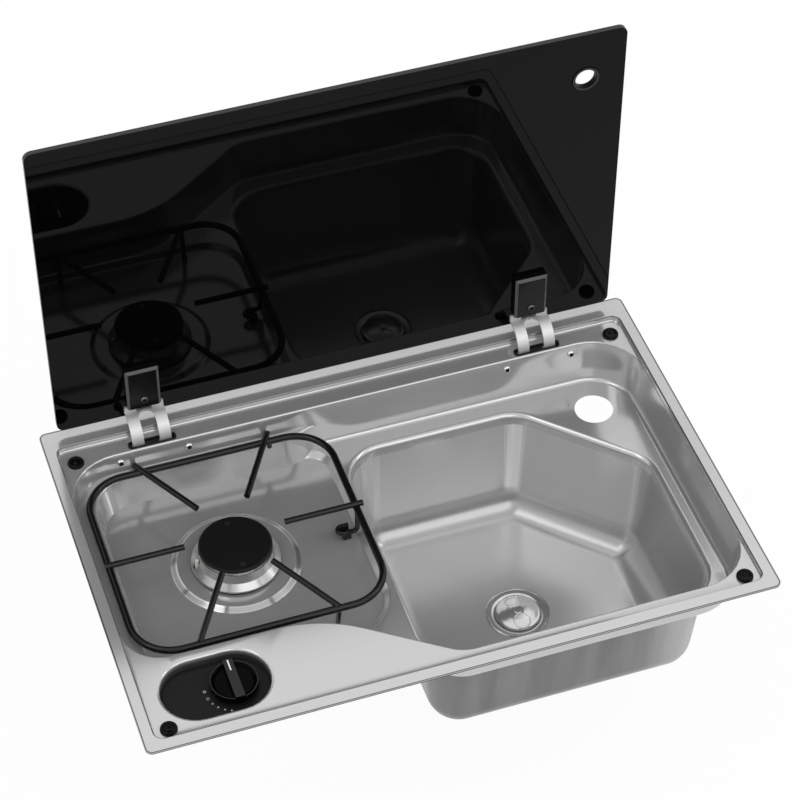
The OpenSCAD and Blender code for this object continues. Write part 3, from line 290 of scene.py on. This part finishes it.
def tray_steel():
    """The pressed sheet, with painted shade on the outer face of its sheared edge, on the band inside
    that edge, in its creases, on the slope of the burner's ring and low in the knob's recess.
    """
    bend_in, edge_in = -1.6, -0.35
    cut_top, crease_top, crease_foot, recess_mid = -0.9, -0.2, -1.3, -10
    ring_top_r, ring_foot_r = 57.2, 61.2
    paint, colour, gloss, fine = sheet_steel("steel_tray", 0.53, 0.15, 0.016)
    x, y, z = paint.place()
    out = rim_distance(x, y)
    edge = out.past(edge_in, 0.2)
    bend = (out.past(bend_in, 0.3) - edge) * 0.8
    lip_shade = edge * z.until(cut_top, 0.2)
    crease_shade = (z.until(crease_top, 0.2) - z.until(crease_foot, 0.6)) * 0.75
    r = length(x - BURNER[0], y - BURNER[1])
    front = (BURNER[1] - y).past(40, 40)
    ring = (r.past(ring_top_r, 1.2) - r.past(ring_foot_r, 1.2)) * (1 - front * 0.75) * 0.5
    recess = z.until(recess_mid, 5) * x.until(RECESS_RIGHT, 2) * y.until(RECESS_BACK, 2) * 0.85
    # painted shade: the lip's outer face, the band inside the rim's edge, the creases of the step, the
    # ring's slope (less at its front) and the low part of the knob's recess
    dark = larger(bend, lip_shade, crease_shade, ring, recess)
    return paint.done(paint.mixed(colour, grey(0.02), dark), gloss, 0.62, fine, *SHEET_BUMP)


def bowl_steel():
    """The drawn bowl: satin inside, with painted highlights and painted shade by the direction its walls
    and bends face, and darker and rougher outside, with a painted highlight before its right bend.
    """
    paint, colour, gloss, fine = sheet_steel("steel_bowl", 0.57, 0.22, 0.007)
    x, y, z = paint.place()
    nx, ny, nz = paint.facing()
    west, south = -nx, -ny
    # inside, painted highlights on a corner bend that faces the front and on the left wall, and painted
    # shade on the right wall and the bend to the floor, by the direction that they face
    upright = abs(nz).until(0.3, 0.2)
    corner = south.past(0.5, 0.2) * (west.past(0.14, 0.14) - west.past(0.56, 0.12))
    left_wall_highlight = nx.past(0.5, 0.3) * 0.45
    right_wall_shade = upright * west.past(0.85, 0.1) * 0.4
    fillet_shade = (nz.past(0.45, 0.3) - nz.past(0.95, 0.08)) * south.past(0.2, 0.3) * 0.42
    colour = paint.mixed(colour, grey(0.95), upright * larger(corner, left_wall_highlight) * 0.8)
    colour = paint.mixed(colour, grey(0.20), larger(right_wall_shade, fillet_shade))
    # outside, streaks down the wall and a painted highlight before its right bend
    highlight_from, highlight_to = 508, 548
    outward = (x - BOWL_MID[0]) * nx + (y - BOWL_MID[1]) * ny + (z - BOWL_MID[2]) * nz
    outside = outward.past(0, 2)
    streaks = paint.grain(60, (1, 1, 0.04), 2.0).ramp(0, 1, 0.3, 0.7)
    painted_highlight = x.past(highlight_from, 40) - x.past(highlight_to, 12)
    outside_colour = paint.mixed(grey(0.14), grey(0.42), (streaks + painted_highlight * 3.6) * 0.2)
    return paint.done(paint.mixed(colour, outside_colour, outside), gloss + outside * 0.06, 0.55, fine, *SHEET_BUMP)


def arm_shade_mask(place, facing):
    """Clear of the painted shade on the barrel that turns on the pin under the sheet."""
    shade_r = 6.8
    return length(place[1] - PIN[0], place[2] - PIN[1]).past(shade_r, 0.4)


def bevel_highlight_mask(place, facing):
    """The slanting edges of a hinge cover, where a highlight is painted."""
    front = abs(facing[1])
    return front.past(0.45, 0.2) - front.past(0.9, 0.1)


def flange_highlight_mask(place, facing):
    """The flat faces of the finger ring, where a highlight is painted."""
    return abs(facing[1]).past(0.9, 0.1)


def pane_edge_mask(place, facing):
    """The ground edges of the glass."""
    return abs(facing[1]).until(0.6, 0.3)


def knob_highlight_mask(place, facing):
    """The dull top of the grip, painted lighter where it faces up, and a painted highlight on the dish's
    rim.
    """
    x, y, z = place
    grip_above = -5.5
    crest_in, crest_out = KNOB_R - 1.7, KNOB_R - 0.6
    grip = z.past(grip_above, 0.2) * facing[2].past(0.6, 0.1)
    r = length(x - KNOB[0], y - KNOB[1])
    crest_highlight = r.past(crest_in, 0.4) - r.past(crest_out, 0.4)
    return larger(grip, crest_highlight * 0.9)


def skirt_shadow_mask(place, facing):
    """Above the painted shadow line at the foot of the burner's skirt."""
    shadow_line_h = 1.3
    return place[2].past(SKIRT_FOOT + shadow_line_h, 0.4)


# Materials, metals first
steel_tray = tray_steel()
steel_bowl = bowl_steel()
# painted shade: this grey is kept dark for the hinge boxes and pins under the sheet; the pipes share it
steel_zinc = even("steel_zinc", grey(0.10), grey(0.14), (0.45, 0.55), 0.7, 400)
chrome_rough = even("chrome_rough", grey(0.70), grey(0.80), (0.15, 0.26), 1, 500, strength=0.06)
strainer_steel = even("strainer_steel", grey(0.66), grey(0.70), (0.16, 0.20), 0.8, 1400, strength=0.01)
arm_steel = two_tone("arm_steel", 0.015, 0.62, arm_shade_mask, (0.5, 0.42), 0.60, 0.5)
alloy = even("alloy", grey(0.47), grey(0.51), (0.24, 0.29), 0.8, 1400, (1, 1, 0.1), 0.01)
alloy_skirt = two_tone("alloy_skirt", 0.01, 0.50, skirt_shadow_mask, (0.5, 0.25), 0.8, 0.5)
brass = even("brass", (0.55, 0.38, 0.14), (0.70, 0.52, 0.22), (0.25, 0.4), 1, 250)
screw_dark = even("screw_dark", grey(0.10), grey(0.16), (0.22, 0.30), 1, 900, strength=0.05)
screw_cap = even("screw_cap", grey(0.012), grey(0.018), (0.20, 0.28), 0, 1500, level=0.45)
# painted shade inside the screws' sockets
socket_shade = even("socket_shade", grey(0.010), grey(0.020), (0.4, 0.5), 0, 1500, level=0.1)
black_glass = two_tone("black_glass", 0.001, 0.045, pane_edge_mask, (0.018, 0.30), 0, 0.11)
cover_black = two_tone("cover_black", 0.003, 0.085, bevel_highlight_mask, (0.16, 0.22), 0, 0.18)
ring_black = two_tone("ring_black", 0.001, 0.045, flange_highlight_mask, (0.30, 0.25), 0, 0.05)
knob_black = two_tone("knob_black", 0.0015, 0.034, knob_highlight_mask, (0.09, 0.45), 0, 0.03)
buffer_black = even("buffer_black", grey(0.002), grey(0.004), (0.10, 0.16), 0, 900, strength=0.03,
                    level=0.10)
cap_black = even("cap_black", grey(0.004), grey(0.008), (0.36, 0.46), 0, 1500, level=0.14)
support_enamel = even("support_enamel", grey(0.004), grey(0.006), (0.15, 0.22), 0, 900, strength=0.06,
                      level=0.30)
plastic = even("plastic", grey(0.006), grey(0.010), (0.36, 0.46), 0, 1800, strength=0.10, level=0.16)
rubber = even("rubber", grey(0.006), grey(0.012), (0.45, 0.6), 0, 1200, strength=0.2, level=0.25)
ceramic = even("ceramic", (0.72, 0.70, 0.62), (0.82, 0.80, 0.74), (0.2, 0.35), 0, 500)
mark_grey = even("mark_grey", grey(0.30), grey(0.38), (0.4, 0.5), 0, 600)
white_mark = even("white_mark", grey(0.72), grey(0.82), (0.4, 0.5), 0, 600)

LOOKS = {
    "tray": steel_tray, "sink_bowl": steel_bowl, "rim_seal": rubber, "lid_buffers": rubber,
    "grommet_left": rubber, "grommet_right": rubber,
    "hinge_box_left": steel_zinc, "hinge_box_right": steel_zinc,
    "hinge_pin_left": steel_zinc, "hinge_pin_right": steel_zinc, "hinge_screws": chrome_rough,
    "knob_plate": plastic, "gas_valve": brass, "valve_screws": chrome_rough,
    "burner_seal": rubber, "burner_skirt": alloy_skirt, "burner_pot": alloy, "burner_crown": alloy,
    "burner_cap": cap_black, "cap_screws": screw_cap, "injector": brass,
    "electrode": ceramic, "electrode_lead": rubber, "burner_pipe": steel_zinc,
    "inlet_pipe": steel_zinc, "pipe_nuts": brass, "support_clip": plastic,
    "waste_flange": strainer_steel, "waste_strainer": strainer_steel, "strainer_screw": strainer_steel,
    "waste_gasket": rubber, "waste_body": plastic, "glass_lid": black_glass,
    "finger_ring": ring_black, "hinge_cover_left": cover_black,
    "hinge_cover_right": cover_black, "hinge_arm_left": arm_steel, "hinge_arm_right": arm_steel,
    "cover_screws": chrome_rough, "valve_plug": brass, "valve_spindle": chrome_rough,
    "knob": knob_black, "pan_support": support_enamel,
}

# Shading of CAD nodes and pieces
SMOOTH_BELOW = math.radians(24)
ROLL_ABOVE = math.radians(30)
ROLL_STEPS = 3
# width of the rolled edges, in millimetres
ROLLED = {"glass_lid": 0.9, "hinge_cover_left": 0.6, "hinge_cover_right": 0.6}


def smooth_group(angle):
    """Geometry nodes that join split points and shade edges below an angle smooth."""
    group = bpy.data.node_groups.new("smooth_by_angle", "GeometryNodeTree")
    group.interface.new_socket("Geometry", in_out="INPUT", socket_type="NodeSocketGeometry")
    group.interface.new_socket("Geometry", in_out="OUTPUT", socket_type="NodeSocketGeometry")
    new, link = group.nodes.new, group.links.new
    start, end = new("NodeGroupInput"), new("NodeGroupOutput")
    drop = new("GeometryNodeRemoveAttribute")
    drop.inputs["Name"].default_value = "custom_normal"
    merge = new("GeometryNodeMergeByDistance")
    merge.inputs["Distance"].default_value = 0.001 * MM
    bend = new("GeometryNodeInputMeshEdgeAngle")
    sharp = new("FunctionNodeCompare")
    sharp.operation = "GREATER_THAN"
    sharp.inputs["B"].default_value = angle
    faces = new("GeometryNodeSetShadeSmooth")
    edges = new("GeometryNodeSetShadeSmooth")
    edges.domain = "EDGE"
    edges.inputs["Shade Smooth"].default_value = False
    link(start.outputs[0], drop.inputs["Geometry"])
    link(drop.outputs["Geometry"], merge.inputs["Geometry"])
    link(merge.outputs["Geometry"], faces.inputs["Geometry"])
    link(faces.outputs["Geometry"], edges.inputs["Geometry"])
    link(bend.outputs["Unsigned Angle"], sharp.inputs["A"])
    link(sharp.outputs["Result"], edges.inputs["Selection"])
    link(edges.outputs["Geometry"], end.inputs[0])
    return group


smooth = smooth_group(SMOOTH_BELOW)


def shade(obj, roll=0):
    """Smooth shading below the angle, with flat faces kept flat and edges rolled by a width."""
    obj.modifiers.new("smooth", "NODES").node_group = smooth
    if roll:
        edge = obj.modifiers.new("roll", "BEVEL")
        edge.width = roll * MM
        edge.segments = ROLL_STEPS
        edge.limit_method = "ANGLE"
        edge.angle_limit = ROLL_ABOVE
        edge.use_clamp_overlap = True
    flat = obj.modifiers.new("even", "WEIGHTED_NORMAL")
    flat.mode = "FACE_AREA_WITH_ANGLE"
    flat.keep_sharp = True


for name, obj in nodes.items():
    obj.data.materials.clear()
    obj.data.materials.append(LOOKS[name])
    shade(obj, ROLLED.get(name, 0))


# Pieces of the scene
PRINT_H = 0.08
# faces round a printed dot, a buffer and a screw
DOT_STEPS, BUFFER_STEPS, SCREW_STEPS = 28, 48, 32


def piece(name, bm, mats, body):
    mesh = bpy.data.meshes.new(name)
    bmesh.ops.recalc_face_normals(bm, faces=bm.faces)
    bm.to_mesh(mesh)
    bm.free()
    for mat in mats:
        mesh.materials.append(mat)
    obj = bpy.data.objects.new(name, mesh)
    bpy.context.scene.collection.objects.link(obj)
    shade(obj)
    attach(obj, body)
    return obj


def circle(n):
    """The cosine and sine of n even steps round a turn."""
    return [(math.cos(2 * math.pi * k / n), math.sin(2 * math.pi * k / n)) for k in range(n)]


def band(bm, low, high):
    """Faces between two closed rows of points, either of which may be a single point."""
    n = max(len(low), len(high))
    faces = []
    for k in range(n):
        j = (k + 1) % n
        if len(low) == 1:
            faces.append(bm.faces.new((low[0], high[j], high[k])))
        elif len(high) == 1:
            faces.append(bm.faces.new((low[k], low[j], high[0])))
        else:
            faces.append(bm.faces.new((low[k], low[j], high[j], high[k])))
    return faces


def lathe(bm, origin, out, profile, n, inner=()):
    """Turns pairs of radius and height round an axis; rows in inner get the second material."""
    out = Vector(out).normalized()
    a = out.orthogonal().normalized()
    b = out.cross(a)
    rings = []
    for r, h in profile:
        centre = origin + out * h * MM
        if r == 0:
            rings.append([bm.verts.new(centre)])
        else:
            rings.append([bm.verts.new(centre + (a * c + b * s) * r * MM) for c, s in circle(n)])
    for row, (low, high) in enumerate(zip(rings, rings[1:])):
        for face in band(bm, low, high):
            face.material_index = 1 if row in inner else 0


def printed_dot(bm, centre, r_out, r_in, h):
    """A printed dot, or a ring where r_in is more than 0, closed on all sides."""
    section = [(r_out, 0), (r_out, h * 0.6), (r_out - h, h)]
    if r_in > 0:
        section += [(r_in + h, h), (r_in, h * 0.6), (r_in, 0)]
    loops = [[bm.verts.new(centre + Vector((r * c, r * s, z)) * MM) for c, s in circle(DOT_STEPS)]
             for r, z in section]
    for low, high in zip(loops, loops[1:]):
        band(bm, low, high)
    if r_in > 0:
        band(bm, loops[-1], loops[0])
    else:
        bm.faces.new(loops[-1])
        bm.faces.new(loops[0][::-1])


def knob_marks():
    """The dots and rings printed beside the knob."""
    # angle, radius and radius of the hole
    marks = [(175, 1.5, 0.6), (-167, 1.5, 0.95), (-152, 0.9, 0), (-138, 0.9, 0), (-124, 0.9, 0),
             (-111, 0.9, 0)]
    mark_circle_r = 27.0
    bm = bmesh.new()
    for angle, r, hole in marks:
        printed_dot(bm, at(*turned(KNOB, mark_circle_r, angle), PLATE_TOP), r, hole, PRINT_H)
    piece("knob_marks", bm, [mark_grey], "base")


def pointer():
    """The line printed on the knob's grip."""
    half, near, far = 0.7, 9.0, 21.0
    narrowed = 0.86
    bm = bmesh.new()
    rows = [[bm.verts.new(at(KNOB[0] + x, KNOB[1] + y, z))
             for x, y in ((-w, near), (w, near), (w, far), (-w, far))]
            for w, z in ((half, GRIP_TOP), (half * narrowed, GRIP_TOP + PRINT_H))]
    bm.faces.new(rows[0][::-1])
    bm.faces.new(rows[1])
    band(bm, *rows)
    piece("knob_pointer", bm, [white_mark], "knob")


def buffers():
    """Rubber buffers with a barbed foot, a rounded rim, a dished top and a small boss in it."""
    foot = [(0, -9.8), (2, -9.8), (4, -7.4), (4, -6.8), (3, -6.8), (3, -6)]
    rim = [(8, -6), (8, -4.9), (7.8, -4.0), (7.3, -3.3), (6.6, -2.9), (5.9, -2.78)]
    dish = [(5.3, -2.95), (4.8, -3.5), (4.4, -4.3), (2.4, -4.5)]
    boss = [(2.0, -4.3), (1.5, -3.9), (0.8, -3.7), (0, -3.65)]
    bm = bmesh.new()
    for x, y in BUFFERS:
        lathe(bm, at(x, y, 0), (0, 0, 1), foot + rim + dish + boss, BUFFER_STEPS)
    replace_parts(piece("buffers", bm, [buffer_black], "base"), "lid_buffers")


def slot_boots():
    """A rubber boot under each hinge slot, clear of the arms as they turn round the pin."""
    half, wall, r_in, r_out = 23.0, 0.8, 25.0, 26.0
    inset, barrel_r, lap = 0.01, 5.5, 0.4
    start, end, steps = 178.5, 302.0, 28
    bm = bmesh.new()

    def shell(x, left, right, r_low, r_high):
        rows = []
        for k in range(steps + 1):
            angle = start + (end - start) * k / steps
            rows.append([bm.verts.new(at(x + dx, *turned(PIN, r, angle))) for dx, r in
                         ((left, r_low), (right, r_low), (right, r_high), (left, r_high))])
        for low, high in zip(rows, rows[1:]):
            band(bm, low, high)
        bm.faces.new(rows[0])
        bm.faces.new(rows[-1][::-1])

    for x in HINGES:
        shell(x, -half, half, r_in, r_out)
        shell(x, -half + inset, -half + wall, barrel_r, r_in + lap)
        shell(x, half - wall, half - inset, barrel_r, r_in + lap)
    piece("slot_boots", bm, [rubber], "base")


def socket_screws(name, node, body, places, out, shank, head):
    """Domed screws with a round socket in the head, painted dark inside as shade."""
    stem = [(0, -shank), (1.75, -shank), (1.75, 0)]
    dome = [(3.8, 0), (3.75, 0.5), (3.4, 1.3), (2.9, 1.8), (2.5, 1.95), (2.2, 1.85)]
    socket = [(2.1, 0.6), (0, 0.6)]
    first_inside = len(stem + dome) - 1
    inside = (first_inside, first_inside + 1)
    bm = bmesh.new()
    for place in places:
        lathe(bm, at(*place), out, stem + dome + socket, SCREW_STEPS, inside)
    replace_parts(piece(name, bm, [head, socket_shade], body), node)


def arm_bridges():
    """The arched web that joins the two strips of each hinge arm under its cover."""
    half, r_in, r_out = 7.9, 20.7, 22.8
    start, crown_end, arch = 72.0, 84.0, 16.0
    columns, rows = 16, 8
    bm = bmesh.new()
    for x in HINGES:
        sections = []
        for i in range(columns + 1):
            u = -1 + 2 * i / columns
            end = crown_end + arch * u * u
            arc = [start + (end - start) * j / rows for j in range(rows + 1)]
            sections.append([[bm.verts.new(at(x + u * half, *turned(PIN, r, angle))) for angle in arc]
                             for r in (r_in, r_out)])
        for a, b in zip(sections, sections[1:]):
            for k in (0, 1):
                for j in range(rows):
                    bm.faces.new((a[k][j], a[k][j + 1], b[k][j + 1], b[k][j]))
            for j in (0, rows):
                bm.faces.new((a[0][j], a[1][j], b[1][j], b[0][j]))
        for inner, outer in (sections[0], sections[-1]):
            for j in range(rows):
                bm.faces.new((inner[j], outer[j], outer[j + 1], inner[j + 1]))
    piece("arm_bridges", bm, [arm_steel], "lid")


# Stage and light, in metres
FLOOR_HALF = 14.0
FLOOR_GAP = 0.5 * MM
FLOOR_GREY = (0.86, 0.86, 0.86, 1)
FLOOR_GLOW = 0.95
WORLD_LIGHT, WORLD_SEEN = 0.88, 1.0
LAMP_AIM = (0, 0.2, 0)


def seen_directly(tree):
    """1 for what the camera, a mirror or a pane shows, and 0 for other light."""
    rays = tree.nodes.new("ShaderNodeLightPath").outputs
    return larger(*(Num(tree, rays[name]) for name in
                    ("Is Camera Ray", "Is Glossy Ray", "Is Transmission Ray")))


def make_floor():
    """A pale floor that shows shadows and otherwise glows almost white."""
    bm = bmesh.new()
    z = cad_box[0][2] - FLOOR_GAP
    bm.faces.new([bm.verts.new((x * FLOOR_HALF, y * FLOOR_HALF, z))
                  for x, y in ((-1, -1), (1, -1), (1, 1), (-1, 1))])
    mesh = bpy.data.meshes.new("floor")
    bm.to_mesh(mesh)
    bm.free()
    floor = bpy.data.objects.new("floor", mesh)
    bpy.context.scene.collection.objects.link(floor)
    material = bpy.data.materials.new("floor_pale")
    material.use_nodes = True
    tree = material.node_tree
    shader = tree.nodes["Principled BSDF"]
    shader.inputs["Base Color"].default_value = FLOOR_GREY
    shader.inputs["Roughness"].default_value = 0.9
    glow = tree.nodes.new("ShaderNodeEmission")
    mix = tree.nodes.new("ShaderNodeMixShader")
    (seen_directly(tree) * FLOOR_GLOW).into(mix.inputs["Fac"])
    tree.links.new(shader.outputs[0], mix.inputs[1])
    tree.links.new(glow.outputs[0], mix.inputs[2])
    tree.links.new(mix.outputs[0], tree.nodes["Material Output"].inputs["Surface"])
    mesh.materials.append(material)


def make_world():
    world = bpy.data.worlds.new("studio")
    world.use_nodes = True
    tree = world.node_tree
    background = tree.nodes["Background"]
    background.inputs["Color"].default_value = (1, 1, 1, 1)
    seen_directly(tree).ramp(WORLD_LIGHT, WORLD_SEEN, 0, 1).into(background.inputs["Strength"])
    bpy.context.scene.world = world


def area_lamp(name, where, aim, size, power):
    data = bpy.data.lights.new(name, "AREA")
    data.shape = "RECTANGLE"
    data.size, data.size_y = size
    data.energy = power
    lamp = bpy.data.objects.new(name, data)
    bpy.context.scene.collection.objects.link(lamp)
    lamp.location = where
    lamp.rotation_euler = (Vector(aim) - Vector(where)).to_track_quat("-Z", "Y").to_euler()


knob_marks()
pointer()
buffers()
slot_boots()
socket_screws("wall_screws", "hinge_screws", "base", WALL_SCREWS,
              (0, -math.cos(DRAFT), math.sin(DRAFT)), shank=5.3, head=chrome_rough)
socket_screws("lid_screws", "cover_screws", "lid", COVER_SCREWS, (0, -1, 0), shank=7.9, head=screw_dark)
arm_bridges()

make_camera()
make_floor()
make_world()
area_lamp("key", (-1.4, 0.0, 2.2), LAMP_AIM, size=(0.6, 1.6), power=6)
area_lamp("back_top", (0.7, 1.5, 2.3), (0.1, 0.1, 0), size=(1.8, 0.9), power=1.2)
area_lamp("right_strip", (1.9, -0.3, 1.5), LAMP_AIM, size=(0.30, 1.6), power=5)
area_lamp("front_soft", (0.6, -1.9, 2.1), LAMP_AIM, size=(2.8, 1.6), power=16)
bpy.context.scene.view_settings.view_transform = "Standard"
